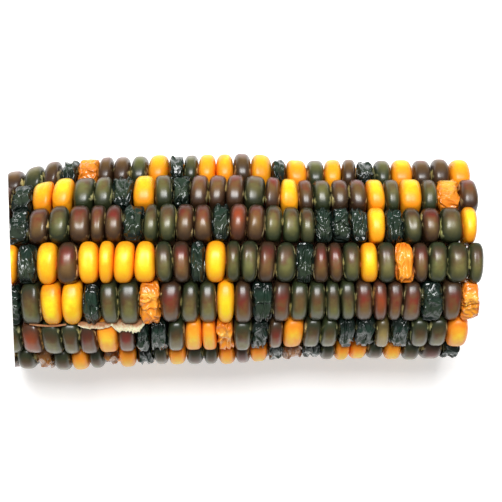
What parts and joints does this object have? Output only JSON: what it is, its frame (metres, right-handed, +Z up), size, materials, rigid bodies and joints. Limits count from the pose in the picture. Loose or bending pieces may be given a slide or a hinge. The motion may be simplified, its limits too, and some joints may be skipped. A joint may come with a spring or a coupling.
{
  "type": "corn cob",
  "caption": "Length of a dry multi-coloured ear of corn, lying on its side: rows of plump and wrinkled kernels round a woody cob, knife-cut at one end and snapped at the other",
  "frame": {"origin": "on the ground, under the middle of the ear's bounding box", "axes": "+X along the ear from the knife-cut stalk end to the snapped tip end, +Z up, -Y the near side"},
  "size_m": [0.1086, 0.0492, 0.0475],
  "materials": {
    "kernels": "gloss",
    "cob": "matte",
    "chaff": "matte"
  },
  "bodies": {
    "root": {"cob_core": "cob", "kernel_row_01": "kernels", "kernel_row_02": "kernels", "kernel_row_03": "kernels", "kernel_row_04": "kernels", "kernel_row_05": "kernels", "kernel_row_06": "kernels", "kernel_row_07": "kernels", "kernel_row_08": "kernels", "kernel_row_09": "kernels", "kernel_row_10": "kernels", "kernel_row_11": "kernels", "kernel_row_12": "kernels", "kernel_row_13": "kernels", "kernel_row_14": "kernels", "kernel_row_15": "kernels", "kernel_row_16": "kernels", "chaff_flake_1": "chaff", "chaff_flake_2": "chaff", "chaff_flake_3": "chaff"}
  },
  "joints": []
}
